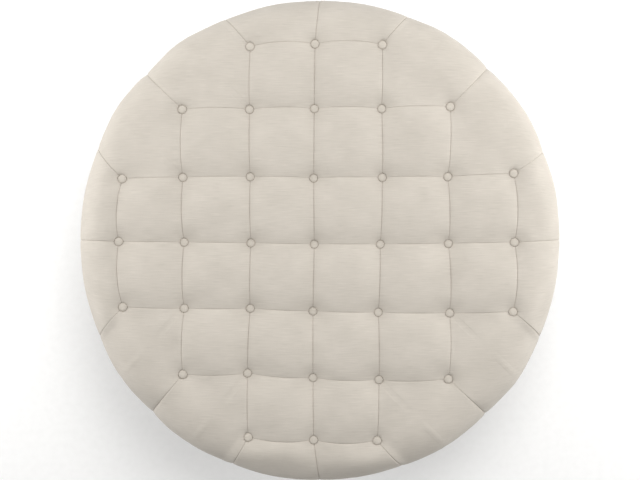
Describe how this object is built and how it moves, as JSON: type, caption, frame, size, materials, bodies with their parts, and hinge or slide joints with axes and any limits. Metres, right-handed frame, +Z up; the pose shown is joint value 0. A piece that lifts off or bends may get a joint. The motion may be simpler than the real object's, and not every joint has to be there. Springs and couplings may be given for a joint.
{
  "type": "ottoman coffee table",
  "caption": "Round upholstered ottoman coffee table with a button-tufted cushion top, a cloth-covered drum base and short tapered wooden legs.",
  "frame": {"origin": "on the floor, under the middle of the round top", "axes": "+Z up; the rows of buttons run along X and Y; the front, the lower edge of the picture, looks along -Y"},
  "size_m": [1.0152, 1.0152, 0.457],
  "materials": {
    "linen": "matte slub linen weave",
    "linen_button": "matte linen",
    "leg_wood": "satin dark stain",
    "frame_wood": "raw pine",
    "plywood": "raw plywood",
    "board": "raw bent board",
    "zinc_steel": "zinc plated",
    "glide_nylon": "matte",
    "black_cloth": "thin nonwoven",
    "foam": "open-cell foam",
    "wadding": "fluffy",
    "twine": "waxed thread",
    "toggle_wood": "raw"
  },
  "bodies": {
    "root": {"base_ring": "frame_wood", "deck": "plywood", "post_1": "frame_wood", "post_2": "frame_wood", "post_3": "frame_wood", "post_4": "frame_wood", "post_5": "frame_wood", "post_6": "frame_wood", "post_7": "frame_wood", "post_8": "frame_wood", "bearer_left": "frame_wood", "bearer_right": "frame_wood", "bearer_brace": "frame_wood", "side_skin": "board", "leg_back_right": "leg_wood", "leg_back_left": "leg_wood", "leg_front_left": "leg_wood", "leg_front_right": "leg_wood", "leg_block_back_right": "frame_wood", "leg_block_back_left": "frame_wood", "leg_block_front_left": "frame_wood", "leg_block_front_right": "frame_wood", "hanger_bolts": "zinc_steel", "tee_nuts": "zinc_steel", "glides": "glide_nylon", "side_band": "linen", "welt": "linen", "dust_cover": "black_cloth", "foam_core": "foam", "wadding": "wadding", "top_cover": "linen", "buttons": "linen_button", "tufting_twines": "twine", "twine_toggles": "toggle_wood"}
  },
  "joints": []
}
